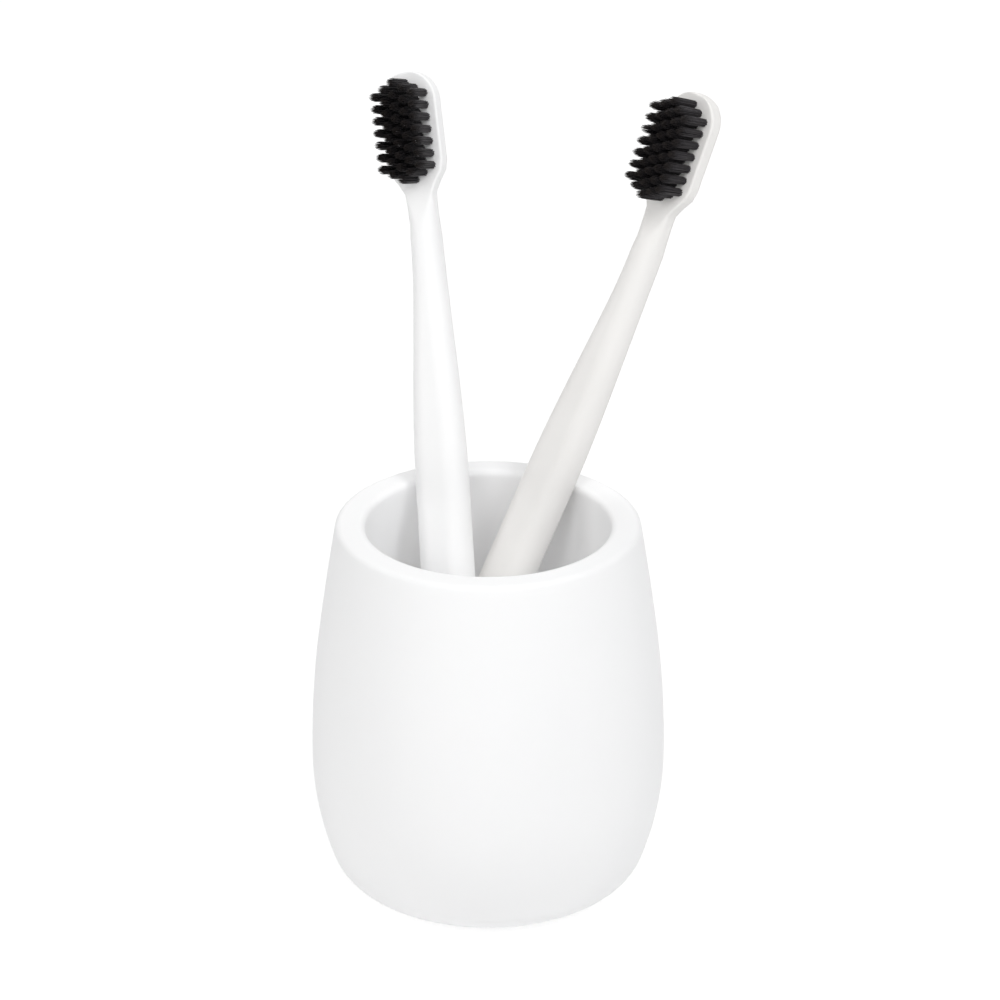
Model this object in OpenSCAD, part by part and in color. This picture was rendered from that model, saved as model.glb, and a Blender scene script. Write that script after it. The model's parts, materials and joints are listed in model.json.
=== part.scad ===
// Bathroom tumbler with two toothbrushes leaning in it.
// Millimetres, +Z up. The origin is the centre of the foot pad's underside, on the surface
// that the tumbler stands on. The mouth opens upward and the brushes face -Y.

/* [Tumbler] */
// Height of the tumbler over the surface that it stands on
cup_h = 92; // [84:0.5:104]
// Largest diameter, at the belly
belly_d = 84.6; // [80:0.2:94]
// Height of the belly's widest line
belly_z = 31.7; // [28:0.1:36]
// Radius of the side just over the belly
belly_arc_r = 244.7; // [200:1:400]
// How far round the belly's arc goes before the upper side takes over
belly_arc_angle = 7.9; // [5:0.1:9]
// Radius of the long, nearly straight upper side
upper_arc_r = 786; // [500:1:1500]
// Radius of the side below the belly
lower_arc_r = 74.3; // [66:0.1:90]
// Radius of the round corner between the side and the underside
base_corner_r = 9.3; // [5:0.1:12]
// Round on the rim's outer edge
rim_outer_round = 1.5; // [0.5:0.1:2.5]
// Round on the rim's inner edge
rim_inner_round = 1.6; // [0.5:0.1:2.5]
// Bore of the mouth
bore_d = 57.8; // [52:0.2:60]
// Thickness of the floor, over the foot pad's recess
floor_t = 8.5; // [5:0.5:12]
// Fillet between the bore and the floor
floor_fillet = 6; // [3:0.5:9]

/* [Foot pad] */
// Diameter of the pad under the tumbler
pad_d = 52; // [40:1:56]
// Thickness of the pad
pad_t = 1.5; // [1:0.1:3]
// How far the pad stands proud of the underside
pad_proud = 0.5; // [0.2:0.1:0.8]
// Gap round the pad in its recess
pad_fit = 0.2; // [0.1:0.05:0.5]
// Bevel round the pad's lower edge
pad_bevel = 0.3; // [0.1:0.05:0.4]

/* [Brush handle] */
// Length of a brush along its centre line
brush_len = 192.4; // [184:0.2:200]
// Width of the handle where it is held
handle_w = 13.1; // [11:0.1:14.5]
// Thickness of the handle where it is held
handle_t = 9; // [7.5:0.1:10]
// Corner radius of the handle's section
handle_corner = 4.2; // [2.5:0.1:4.5]
// Round over the handle's lower end
foot_round = 4.2; // [2:0.1:4.4]
// Distance from the lower end at which the handle starts to narrow
taper_start = 94; // [90:1:105]
// Length over which the handle narrows to the neck
taper_len = 64.5; // [50:1:66]
// Width of the neck
neck_w = 7.2; // [6:0.1:9]
// Thickness of the neck
neck_t = 7.9; // [6:0.1:9]
// Distance from the lower end at which the neck starts to bend forward
bend_start = 135.4; // [124:0.2:136]
// Length of the neck's bend
bend_len = 28; // [12:0.5:28]
// Angle between the handle and the head
bend_angle = 6.9; // [2:0.1:12]

/* [Brush head] */
// Length of the head
head_len = 28.6; // [28:0.1:32]
// Width of the head
head_w = 14.8; // [14.4:0.1:16]
// Thickness of the head
head_t = 4.3; // [4.2:0.1:6]
// Radius of the head's corners, seen from the bristles
head_corner = 7.1; // [4.5:0.1:7.1]
// Round on the edges of the head's face
head_edge = 0.6; // [0.3:0.1:0.8]
// Round on the edges of the head's back
head_back_round = 1.8; // [0.8:0.1:1.9]
// Length over which the neck flattens to the head's thickness
flatten_len = 11.2; // [8:0.2:18]
// Length of the shoulders between the neck and the head's full width
shoulder_len = 7.5; // [6:0.1:9]
// How far before the head the shoulders start
shoulder_lead = 1.4; // [1:0.1:4]

/* [Bristles] */
// Number of tufts in each column, from one side of the head to the other
column_counts = [7, 8, 9, 8, 7];
// Distance between the tufts of a column
tuft_pitch = 2.9; // [2.6:0.05:2.9]
// Distance between the columns
column_pitch = 2.36; // [2.3:0.02:2.5]
// Distance from a tuft's centre to its outer strands, at the root
strand_ring_r = 0.52; // [0.45:0.02:0.58]
// Strands in a tuft, besides the middle one
tuft_ring = 5; // [4:1:5]
// Length of the bristles over the head's face
bristle_len = 8.8; // [8:0.1:12]
// Width of a strand at its root
strand_w = 0.46; // [0.3:0.02:0.5]
// Width of a strand at its tip
strand_tip_w = 0.26; // [0.15:0.01:0.3]
// How far an outer strand's tip stands out past its root
strand_splay_len = 0.22; // [0:0.02:0.3]
// How deep a strand is rooted in the backing
strand_root = 0.4; // [0.2:0.05:0.6]
// Thickness of the backing that the strands are fused to
backing_t = 1; // [0.8:0.1:1.4]
// Margin of the head's flat face round the backing
backing_margin = 0.2; // [0.1:0.05:0.4]

/* [Anchors] */
// Length of the metal plate that holds a tuft
anchor_len = 1.9; // [1.6:0.1:2]
// Height of the plate
anchor_h = 1.5; // [1:0.1:1.8]
// Thickness of the plate
anchor_t = 0.28; // [0.2:0.02:0.4]
// Turn of the plates against the head's long sides
anchor_turn = 40; // [20:1:70]
// Gap between a plate's faces and its slot
anchor_fit = 0.04; // [0.02:0.01:0.08]

/* [Placement] */
// Gap between a brush and the tumbler's floor and rim, where it stands and leans
seat_gap = 0.3; // [0.2:0.05:0.6]
// Gap between the white brush's lower end and the tumbler's wall
white_wall_gap = 0.3; // [0.2:0.05:0.6]
// Gap between the grey brush's lower end and the wall, as friction on the floor leaves it
grey_wall_gap = 1.95; // [0.2:0.05:2.8]
// Direction of the white brush's lower end from the tumbler's axis
white_foot_angle = -101.7; // [-108:0.1:-98]
// Direction of the place where the white brush leans on the rim
white_rim_angle = 119.2; // [117:0.1:122]
// Turn of the white brush about its own axis
white_turn = 57.4; // [54:0.1:61]
// Direction of the grey brush's lower end from the tumbler's axis
grey_foot_angle = 188.3; // [182:0.1:194]
// Direction of the place where the grey brush leans on the rim
grey_rim_angle = 54.5; // [52:0.1:57]
// Turn of the grey brush about its own axis
grey_turn = 102.5; // [99:0.1:106]

/* [Hidden] */

// Overrun of every cut past the face that it opens
cut_over = 1;
// Points of an outline that are nearer than this are one point
same_point = 0.002;
// Points along each arc of the tumbler's outline, and round each small fillet
side_steps = 14;
fillet_steps = 8;
// Points round each corner of a handle's section, and steps over a rounded end
corner_steps = 6;
end_steps = 8;
// Steps along the handle's taper, bend and flattened neck
taper_steps = 7;
neck_steps = 5;
shoulder_steps = 7;
// Steps of the search that seats a brush on the floor and the rim
seat_steps = 12;
// Largest share of half a section that its corner radius takes
full_round_share = 0.94;
$fn = 96;

belly_r = belly_d / 2;
bore_r = bore_d / 2;
floor_z = pad_t + floor_t;
head_start = brush_len - head_len;
flatten_start = head_start - flatten_len;
shoulder_start = head_start - shoulder_lead;
end_round = min(foot_round, full_round_share * handle_t / 2);
backing_inset = head_edge + backing_margin;
backing_w = head_w - 2 * backing_inset;
backing_len = head_len - 2 * backing_inset;
backing_corner = head_corner - backing_inset;

// Tumbler

function arc(centre, r, from, to, steps) =
    [for (k = [0 : steps]) let (a = from + (to - from) * k / steps) centre + r * [cos(a), sin(a)]];

// Centres of the outline's arcs, each tangent to the next
belly_centre = [belly_r - belly_arc_r, belly_z];
upper_centre = belly_centre
    + (belly_arc_r - upper_arc_r) * [cos(belly_arc_angle), sin(belly_arc_angle)];
lower_centre = [belly_r - lower_arc_r, belly_z];
corner_drop = belly_z - pad_proud - base_corner_r;
corner_reach = sqrt(pow(lower_arc_r - base_corner_r, 2) - pow(corner_drop, 2));
corner_centre = lower_centre + [corner_reach, -corner_drop];
corner_angle = -atan2(corner_drop, corner_reach);
rim_rise = cup_h - rim_outer_round - upper_centre.y;
rim_reach = sqrt(pow(upper_arc_r - rim_outer_round, 2) - pow(rim_rise, 2));
rim_centre = upper_centre + [rim_reach, rim_rise];
rim_angle = atan2(rim_rise, rim_reach);

function outer_side() = concat(
    arc(corner_centre, base_corner_r, -90, corner_angle, fillet_steps),
    arc(lower_centre, lower_arc_r, corner_angle, 0, side_steps),
    arc(belly_centre, belly_arc_r, 0, belly_arc_angle, side_steps),
    arc(upper_centre, upper_arc_r, belly_arc_angle, rim_angle, side_steps),
    arc(rim_centre, rim_outer_round, rim_angle, 90, fillet_steps));

function inner_side() = concat(
    arc([bore_r + rim_inner_round, cup_h - rim_inner_round], rim_inner_round, 90, 180, fillet_steps),
    arc([bore_r - floor_fillet, floor_z + floor_fillet], floor_fillet, 0, -90, fillet_steps));

// Points of a list without those that repeat the one before
function unrepeated(pts) =
    [for (k = [0 : len(pts) - 1]) if (k == 0 || norm(pts[k] - pts[k - 1]) > same_point) pts[k]];

module tumbler() {
    color("whitesmoke")
        difference() {
            rotate_extrude()
                polygon(unrepeated(concat([[0, pad_proud]], outer_side(), inner_side(), [[0, floor_z]])));
            translate([0, 0, pad_proud - cut_over])
                cylinder(d = pad_d + 2 * pad_fit, h = pad_t - pad_proud + cut_over);
        }
}

module foot_pad() {
    color("lightgray")
        rotate_extrude()
            polygon([[0, 0], [pad_d / 2 - pad_bevel, 0], [pad_d / 2, pad_bevel],
                     [pad_d / 2, pad_t], [0, pad_t]]);
}

// Brush, in its own frame: x across, y to the bristles' side and z from the lower end up

function blend(x) = let (k = min(max(x, 0), 1)) k * k * (3 - 2 * k);

function rounding(u, r) = u < r ? r - sqrt(r * r - (r - u) * (r - u)) : 0;

function half_width(s) =
    handle_w / 2
    + (neck_w - handle_w) / 2 * blend((s - taper_start) / taper_len)
    + (head_w - neck_w) / 2 * blend((s - shoulder_start) / shoulder_len)
    - rounding(s, end_round)
    - rounding(brush_len - s, head_corner);

// Reach of a section from the centre line, towards the side whose edges have the given round at the head
function reach(s, head_round) =
    handle_t / 2
    + (neck_t - handle_t) / 2 * blend((s - taper_start) / taper_len)
    + (head_t - neck_t) / 2 * blend((s - flatten_start) / flatten_len)
    - rounding(s, end_round)
    - rounding(brush_len - s, head_round);

// Radius of a section's corners on that side, for a section of the given half width and thickness
function section_corner(s, head_round, w, t) =
    min(full_round_share * min(w, t / 2),
        handle_corner + (head_round - handle_corner) * blend((s - flatten_start) / flatten_len));

// Points round a section with rounded corners, anticlockwise: half its width, then its reach from the
// centre line and the radius of its corners, each as [on the bristles' side, on the back]
function rounded_section(w, reaches, corners, steps) =
    [for (q = [0 : 3], k = [0 : steps])
        let (a = 90 * (q + k / steps), sx = q == 0 || q == 3 ? 1 : -1, sy = q < 2 ? 1 : -1,
             t = q < 2 ? reaches[0] : reaches[1], r = q < 2 ? corners[0] : corners[1])
        [sx * (w - r) + r * cos(a), sy * (t - r) + r * sin(a)]];

// Angle of the centre line at the distance s, and its place as [y, z]
function spine_angle(s) = bend_angle * min(max((s - bend_start) / bend_len, 0), 1);

bend_r = bend_len / (bend_angle * PI / 180);
bend_end = bend_start + bend_len;

function spine(s) =
    s <= bend_start ? [0, s] :
    let (a = spine_angle(s), past = max(s - bend_end, 0))
    [bend_r * (1 - cos(a)) + past * sin(a), bend_start + bend_r * sin(a) + past * cos(a)];

function section(s) =
    let (a = spine_angle(s), c = spine(s), w = half_width(s),
         reaches = [reach(s, head_edge), reach(s, head_back_round)], t = reaches[0] + reaches[1],
         corners = [section_corner(s, head_edge, w, t), section_corner(s, head_back_round, w, t)])
    [for (p = rounded_section(w, reaches, corners, corner_steps))
        [p.x, c.x + p.y * cos(a), c.y - p.y * sin(a)]];

foot_stations = [for (k = [0 : end_steps]) end_round * (1 - cos(90 * k / end_steps))];
handle_stations = concat(
    foot_stations,
    [for (k = [0 : taper_steps]) taper_start + (flatten_start - taper_start) * k / taper_steps],
    [for (k = [1 : neck_steps]) flatten_start + (shoulder_start - flatten_start) * k / neck_steps],
    [for (k = [1 : shoulder_steps]) shoulder_start + shoulder_len * k / shoulder_steps],
    [for (k = [0 : end_steps]) brush_len - head_corner * (1 - sin(90 * k / end_steps))]);

// Skin over rings of n points each, closed by the first ring and the last
module skin(rings) {
    n = len(rings[0]);
    last = (len(rings) - 1) * n;
    sides = [for (i = [0 : len(rings) - 2], j = [0 : n - 1])
        let (k = (j + 1) % n, a = i * n + j, b = a + n, c = i * n + n + k, d = i * n + k)
        each [[a, b, c], [a, c, d]]];
    bottom = [for (j = [0 : n - 1]) j];
    top = [for (j = [0 : n - 1]) last + n - 1 - j];
    polyhedron(points = [for (r = rings) each r], faces = concat([bottom, top], sides));
}

// Frame of the head: origin in the middle of its face, x across, y out to the bristles, z to the tip
module on_head() {
    a = spine_angle(brush_len);
    c = spine(brush_len - head_len / 2);
    translate([0, c.x, c.y])
        rotate([-a, 0, 0])
            translate([0, head_t / 2, 0])
                children();
}

// Plate of the backing's outline, grown by margin, from the face down to the given depth
module backing_plate(depth, over) {
    w = backing_w / 2 - backing_corner;
    l = backing_len / 2 - backing_corner;
    rotate([90, 0, 0])
        translate([0, 0, -over])
            linear_extrude(depth + over)
                union() {
                    square([backing_w, 2 * l], center = true);
                    square([2 * w, backing_len], center = true);
                    for (sx = [-1, 1], sz = [-1, 1])
                        translate([sx * w, sz * l])
                            circle(r = backing_corner);
                }
}

// Places of the tufts on the head's face, as [x, z]
tufts = [for (c = [0 : len(column_counts) - 1], k = [0 : column_counts[c] - 1])
    [(c - (len(column_counts) - 1) / 2) * column_pitch, (k - (column_counts[c] - 1) / 2) * tuft_pitch]];

module anchors(grow) {
    for (p = tufts)
        translate([p.x, -backing_t - (anchor_h + grow) / 2, p.y])
            rotate([0, anchor_turn, 0])
                cube([anchor_t + 2 * grow, anchor_h + grow, anchor_len + 2 * grow], center = true);
}

module brush_handle() {
    difference() {
        skin([for (s = handle_stations) section(s)]);
        on_head() {
            backing_plate(backing_t, cut_over);
            anchors(anchor_fit);
        }
    }
}

// Corners of a square of width w round a point of the head's face, at the height y over it
function square_ring(centre, y, w, turn) =
    let (r = w / sqrt(2))
    [for (q = [0 : 3]) let (a = turn - 90 * q) [centre.x + r * cos(a), y, centre.y + r * sin(a)]];

// One strand from its root in the backing to its tip, four-sided and tapered, its tip moved by splay
module strand(place, splay, turn) {
    skin([square_ring(place - splay * strand_root / bristle_len, -strand_root, strand_w, turn),
          square_ring(place + splay, bristle_len, strand_tip_w, turn)]);
}

module brush_bristles() {
    on_head()
        union() {
            backing_plate(backing_t, 0);
            for (p = tufts) {
                strand(p, [0, 0], anchor_turn);
                for (k = [1 : tuft_ring]) {
                    a = anchor_turn + 360 * k / tuft_ring;
                    out = [cos(a), sin(a)];
                    strand(p + strand_ring_r * out, strand_splay_len * out, a);
                }
            }
        }
}

// Seat of a brush: its lower end on the floor beside the wall, its handle on the rim

function turned_x(v, a) = [v.x * cos(a) - v.y * sin(a), v.x * sin(a) + v.y * cos(a), v.z];

function tilted(v, a) = [v.x * cos(a) + v.z * sin(a), v.y, v.z * cos(a) - v.x * sin(a)];

// Unit vector from the first of two places to the second
function axis_of(ends) = (ends[1] - ends[0]) / norm(ends[1] - ends[0]);

// A vector of the brush's frame in the tumbler's, for a brush along the unit vector t
function in_cup(v, t, turn) = turned_x(tilted(turned_x(v, turn), acos(t.z)), atan2(t.y, t.x));

function cavity_r(z) =
    let (h = min(max(floor_z + floor_fillet - z, 0), floor_fillet))
    bore_r - floor_fillet + sqrt(floor_fillet * floor_fillet - h * h);

function mouth_r(z) =
    let (h = max(z - cup_h + rim_inner_round, 0))
    bore_r + rim_inner_round - sqrt(rim_inner_round * rim_inner_round - h * h);

foot_points = [for (s = concat(foot_stations, [3 * end_round])) each section(s)];
grip_points = section(taper_start);

// How far a handle's side through the point p reaches past the mouth's wall, at its worst height
function past_mouth(p, t) =
    max([for (k = [0 : fillet_steps])
        let (z = cup_h - rim_inner_round * (1 - k / fillet_steps), q = p + t * (z - p.z) / t.z)
        norm([q.x, q.y]) - mouth_r(z)]);

// Radius and height of the foot's centre and radius of the axis at the rim, after the given steps
function seat(foot_a, rim_a, turn, wall_gap, foot_r, foot_z, rim_r, steps) =
    steps <= 0 ? [foot_r, foot_z, rim_r] :
    let (foot = [foot_r * cos(foot_a), foot_r * sin(foot_a), foot_z],
         rim = [rim_r * cos(rim_a), rim_r * sin(rim_a), cup_h],
         t = axis_of([foot, rim]),
         low = [for (p = foot_points) foot + in_cup(p, t, turn)],
         side = [for (p = grip_points) rim + in_cup([p.x, p.y, 0], t, turn)],
         rise = floor_z + seat_gap - min([for (p = low) p.z]),
         wall_past = max([for (p = low) norm([p.x, p.y]) - cavity_r(p.z)]),
         rim_past = max([for (p = side) past_mouth(p, t)]))
    seat(foot_a, rim_a, turn, wall_gap, foot_r - wall_gap - wall_past, foot_z + rise,
         rim_r - seat_gap - rim_past, steps - 1);

function seated(foot_a, rim_a, turn, wall_gap) =
    let (start = bore_r - handle_t,
         r = seat(foot_a, rim_a, turn, wall_gap, start, floor_z, start, seat_steps))
    [[r[0] * cos(foot_a), r[0] * sin(foot_a), r[1]], [r[2] * cos(rim_a), r[2] * sin(rim_a), cup_h]];

white_seat = seated(white_foot_angle, white_rim_angle, white_turn, white_wall_gap);
grey_seat = seated(grey_foot_angle, grey_rim_angle, grey_turn, grey_wall_gap);

// Puts a brush's frame at its seat, given as the centre of its foot and its axis at the rim
module at_seat(ends, turn) {
    t = axis_of(ends);
    translate(ends[0])
        rotate([0, acos(t.z), atan2(t.y, t.x)])
            rotate([0, 0, turn])
                children();
}

module white_handle() {
    color("white")
        at_seat(white_seat, white_turn)
            brush_handle();
}

module white_bristles() {
    color("dimgray")
        at_seat(white_seat, white_turn)
            brush_bristles();
}

module white_anchors() {
    color("goldenrod")
        at_seat(white_seat, white_turn)
            on_head()
                anchors(0);
}

module grey_handle() {
    color("gainsboro")
        at_seat(grey_seat, grey_turn)
            brush_handle();
}

module grey_bristles() {
    color("dimgray")
        at_seat(grey_seat, grey_turn)
            brush_bristles();
}

module grey_anchors() {
    color("goldenrod")
        at_seat(grey_seat, grey_turn)
            on_head()
                anchors(0);
}

echo(white_seat = white_seat, white_axis = axis_of(white_seat));
echo(grey_seat = grey_seat, grey_axis = axis_of(grey_seat));

tumbler();
foot_pad();
white_handle();
white_bristles();
white_anchors();
grey_handle();
grey_bristles();
grey_anchors();
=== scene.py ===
"""Looks of a bathroom tumbler that holds two toothbrushes.

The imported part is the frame: metres, +Z up, the origin under the middle of the foot pad. Sizes in
the classes below are millimetres, and each mesh is turned to metres as it is finished.
"""

import json
import logging
import math
import random
from dataclasses import dataclass, field
from enum import Enum
from typing import Any, Iterable, Sequence

import bmesh
import bpy
from bmesh.types import BMEdge, BMesh, BMVert
from bpy.types import Material, Mesh, Node, NodeGroupInput, NodeSocket, NodeTree, Object
from bpy.types import ShaderNodeTree
from mathutils import Matrix, Vector


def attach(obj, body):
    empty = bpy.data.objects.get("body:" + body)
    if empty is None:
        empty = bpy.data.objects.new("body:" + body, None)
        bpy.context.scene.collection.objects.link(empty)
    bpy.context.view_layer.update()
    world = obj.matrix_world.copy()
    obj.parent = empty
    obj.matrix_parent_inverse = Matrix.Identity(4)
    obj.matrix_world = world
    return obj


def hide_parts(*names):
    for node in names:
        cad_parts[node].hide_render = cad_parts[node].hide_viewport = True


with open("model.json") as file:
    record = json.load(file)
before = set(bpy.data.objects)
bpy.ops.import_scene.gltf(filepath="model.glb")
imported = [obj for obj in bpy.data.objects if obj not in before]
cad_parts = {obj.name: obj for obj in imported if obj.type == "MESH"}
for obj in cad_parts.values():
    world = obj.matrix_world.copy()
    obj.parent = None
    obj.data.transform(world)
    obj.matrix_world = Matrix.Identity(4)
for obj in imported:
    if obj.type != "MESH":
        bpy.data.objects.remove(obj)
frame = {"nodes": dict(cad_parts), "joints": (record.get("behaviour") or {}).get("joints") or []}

log = logging.getLogger("toothbrush_holder")

Color = tuple[float, float, float]
Point = tuple[float, float]

MM = 0.001
PLAIN_WHITE: Color = (1.0, 1.0, 1.0)
GOLDEN_ANGLE = math.pi * (3 - math.sqrt(5))
# Name of the attribute that runs from 0 at a filament's root to 1 at its tip
ALONG = "along"
# Sockets of a Mix node for colours: its share, its two colours and its result
MIX_SHARE, MIX_LOW, MIX_HIGH, MIX_RESULT = 0, 6, 7, 2
# Points of a turned shape that lie nearer than this are one, in millimetres
MERGE_GAP = 1e-4
# Depth of the slice that counts as a handle's flat end, in metres
END_SLICE = 0.02 * MM
# Digits, in metres, to which two corners of that end are the same place
PLACE_DIGITS = 6


class Brush(Enum):
    """The two toothbrushes, by the name that their nodes, body and joint start with."""

    WHITE = "white"
    GREY = "grey"

    @property
    def body(self) -> str:
        """The body that the brush's pieces ride on."""
        return f"{self.value}_brush"

    @property
    def joint(self) -> str:
        """The joint that lifts the brush out."""
        return f"{self.value}_lift"

    def node(self, piece: str) -> str:
        """The CAD node of one of the brush's pieces."""
        return f"{self.value}_{piece}"


# Shader nodes


class Graph:
    """Writes a node tree, one node a call.

    Args:
        tree: The tree of a material, a world or a node group.
    """

    def __init__(self, tree: NodeTree) -> None:
        """Takes the tree and empties it."""
        self.tree = tree
        tree.nodes.clear()

    def add(self, kind: str, inputs: dict[Any, Any] | None = None, **settings: Any) -> Node:
        """Adds a node.

        Args:
            kind: The node's type name.
            inputs: Values or sockets for its inputs, by name or by number.
            settings: Values for its own properties.

        Returns:
            The node.
        """
        node = self.tree.nodes.new(kind)
        for name, value in settings.items():
            setattr(node, name, value)
        for key, value in (inputs or {}).items():
            if isinstance(value, NodeSocket):
                self.tree.links.new(value, node.inputs[key])
            else:
                node.inputs[key].default_value = value
        return node

    def place(self) -> NodeSocket:
        """Adds a node that gives the place on the piece, in metres."""
        return self.add("ShaderNodeTexCoord").outputs["Object"]

    def math(self, operation: str, *values: Any) -> NodeSocket:
        """Adds a Math node for numbers or sockets, and gives its result's socket."""
        node = self.add("ShaderNodeMath", dict(enumerate(values)), operation=operation)
        return node.outputs[0]

    def mix(self, share: Any, low: Any, high: Any) -> NodeSocket:
        """Adds a Mix node that goes from one colour to another, and gives its colour's socket."""
        inputs = {MIX_SHARE: share, MIX_LOW: low, MIX_HIGH: high}
        return self.add("ShaderNodeMix", inputs, data_type="RGBA").outputs[MIX_RESULT]

    def noise(self, place: NodeSocket, scale: Any, detail: float) -> NodeSocket:
        """Adds a noise texture of so many features a metre, and gives its value's socket."""
        inputs = {"Vector": place, "Scale": scale, "Detail": detail}
        return self.add("ShaderNodeTexNoise", inputs).outputs["Fac"]

    def surface(self, inputs: dict[str, Any]) -> None:
        """Ends a material's tree with a Principled shader of these inputs."""
        shader = self.add("ShaderNodeBsdfPrincipled", inputs)
        self.add("ShaderNodeOutputMaterial", {"Surface": shader.outputs[0]})


def new_material(name: str) -> tuple[Material, Graph]:
    """Makes an empty material.

    Args:
        name: The material's name.

    Returns:
        The material and the graph that writes its nodes.
    """
    made = bpy.data.materials.new(name)
    made.use_nodes = True
    return made, Graph(made.node_tree)


def new_group(
    name: str, inputs: Sequence[tuple[str, str, float]], outputs: Sequence[tuple[str, str]]
) -> tuple[Graph, NodeGroupInput, ShaderNodeTree]:
    """Makes an empty node group with its sockets.

    Args:
        name: The group's name.
        inputs: Name, socket type and default of each input.
        outputs: Name and socket type of each output.

    Returns:
        The group's graph, its input node and the group.
    """
    group = bpy.data.node_groups.new(name, "ShaderNodeTree")
    for label, kind, value in inputs:
        socket = group.interface.new_socket(label, in_out="INPUT", socket_type=kind)
        if kind == "NodeSocketFloat":
            socket.default_value = value
    for label, kind in outputs:
        group.interface.new_socket(label, in_out="OUTPUT", socket_type=kind)
    graph = Graph(group)
    return graph, graph.add("NodeGroupInput"), group


@dataclass
class SurfaceGroups:
    """Node groups that more than one finish uses, each built once.

    Attributes:
        wave_scale: Slow waves of the relief a metre.
        wave_weight: Their weight beside the fine grain.
        grain_height: Height of the relief at full strength, in metres.
        drift_from: Noise value at which a colour starts to drift.
        drift_to: Noise value at which it reaches the second colour.
        grain: Fine relief of a cast or moulded skin, as a value and a normal.
        mottle: Soft, wide drift of a colour towards a second one.
    """

    wave_scale: float = 90.0
    wave_weight: float = 4.0
    grain_height: float = 0.00004
    drift_from: float = 0.35
    drift_to: float = 0.7
    grain: ShaderNodeTree = field(init=False)
    mottle: ShaderNodeTree = field(init=False)

    def __post_init__(self) -> None:
        """Builds the groups."""
        self.grain = self._grain()
        self.mottle = self._mottle()

    def _grain(self) -> ShaderNodeTree:
        """Builds the relief of a skin: fine grain over a slow waviness.

        Returns:
            The group.
        """
        graph, given, group = new_group(
            "skin_grain",
            [("Grain scale", "NodeSocketFloat", 2500.0), ("Relief", "NodeSocketFloat", 0.1)],
            [("Value", "NodeSocketFloat"), ("Normal", "NodeSocketVector")],
        )
        place = graph.place()
        fine = graph.noise(place, given.outputs["Grain scale"], detail=2.0)
        slow = graph.noise(place, self.wave_scale, detail=1.0)
        height = graph.math("ADD", fine, graph.math("MULTIPLY", slow, self.wave_weight))
        bump = graph.add(
            "ShaderNodeBump",
            {"Strength": given.outputs["Relief"], "Distance": self.grain_height, "Height": height},
        )
        graph.add("NodeGroupOutput", {"Value": fine, "Normal": bump.outputs["Normal"]})
        return group

    def _mottle(self) -> ShaderNodeTree:
        """Builds the drift of a colour towards a second one.

        Returns:
            The group.
        """
        graph, given, group = new_group(
            "soft_mottle",
            [
                ("Color", "NodeSocketColor", 0.0),
                ("Second color", "NodeSocketColor", 0.0),
                ("Scale", "NodeSocketFloat", 30.0),
                ("Stretch", "NodeSocketFloat", 1.0),
            ],
            [("Color", "NodeSocketColor")],
        )
        upright = graph.add(
            "ShaderNodeCombineXYZ", {"X": 1.0, "Y": 1.0, "Z": given.outputs["Stretch"]}
        )
        place = graph.add(
            "ShaderNodeVectorMath",
            {0: graph.place(), 1: upright.outputs[0]},
            operation="MULTIPLY",
        )
        cloud = graph.noise(place.outputs[0], given.outputs["Scale"], detail=3.0)
        span = {"From Min": self.drift_from, "From Max": self.drift_to}
        mask = graph.add("ShaderNodeMapRange", {"Value": cloud, **span})
        color = graph.mix(mask.outputs[0], given.outputs["Color"], given.outputs["Second color"])
        graph.add("NodeGroupOutput", {"Color": color})
        return group


def rgba(color: Color) -> tuple[float, float, float, float]:
    """A colour with full alpha."""
    return (*color, 1.0)


@dataclass(frozen=True)
class Skin:
    """Finish of a cast or moulded piece. The values here are a brush's moulded plastic's.

    Attributes:
        name: The material's name.
        color: Its colour, linear.
        second: The colour that it drifts to.
        roughness: Roughness of the smoother places.
        rougher: What the grain adds to it.
        specular: Specular level.
        mottle_scale: Patches of drifting colour a metre.
        grain_scale: Grains of the relief a metre.
        relief: Strength of the grain's bump.
        stretch: Scale of the patches along Z, under 1 for upright streaks.
        sheen: Weight of a dusty sheen.
        metallic: 1 for metal.
    """

    name: str
    color: Color
    second: Color
    roughness: float = 0.52
    rougher: float = 0.12
    specular: float = 0.3
    mottle_scale: float = 60.0
    grain_scale: float = 3000.0
    relief: float = 0.1
    stretch: float = 1.0
    sheen: float = 0.0
    metallic: float = 0.0

    def material(self, groups: SurfaceGroups) -> Material:
        """Builds the material.

        Args:
            groups: The shared node groups.

        Returns:
            The material.
        """
        made, graph = new_material(self.name)
        mottle = graph.add(
            "ShaderNodeGroup",
            {
                "Color": rgba(self.color),
                "Second color": rgba(self.second),
                "Scale": self.mottle_scale,
                "Stretch": self.stretch,
            },
            node_tree=groups.mottle,
        )
        grain = graph.add(
            "ShaderNodeGroup",
            {"Grain scale": self.grain_scale, "Relief": self.relief},
            node_tree=groups.grain,
        )
        rougher = graph.math("MULTIPLY", grain.outputs["Value"], self.rougher)
        graph.surface({
            "Base Color": mottle.outputs["Color"],
            "Roughness": graph.math("ADD", rougher, self.roughness),
            "Normal": grain.outputs["Normal"],
            "Specular IOR Level": self.specular,
            "Sheen Weight": self.sheen,
            "Metallic": self.metallic,
        })
        return made


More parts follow.
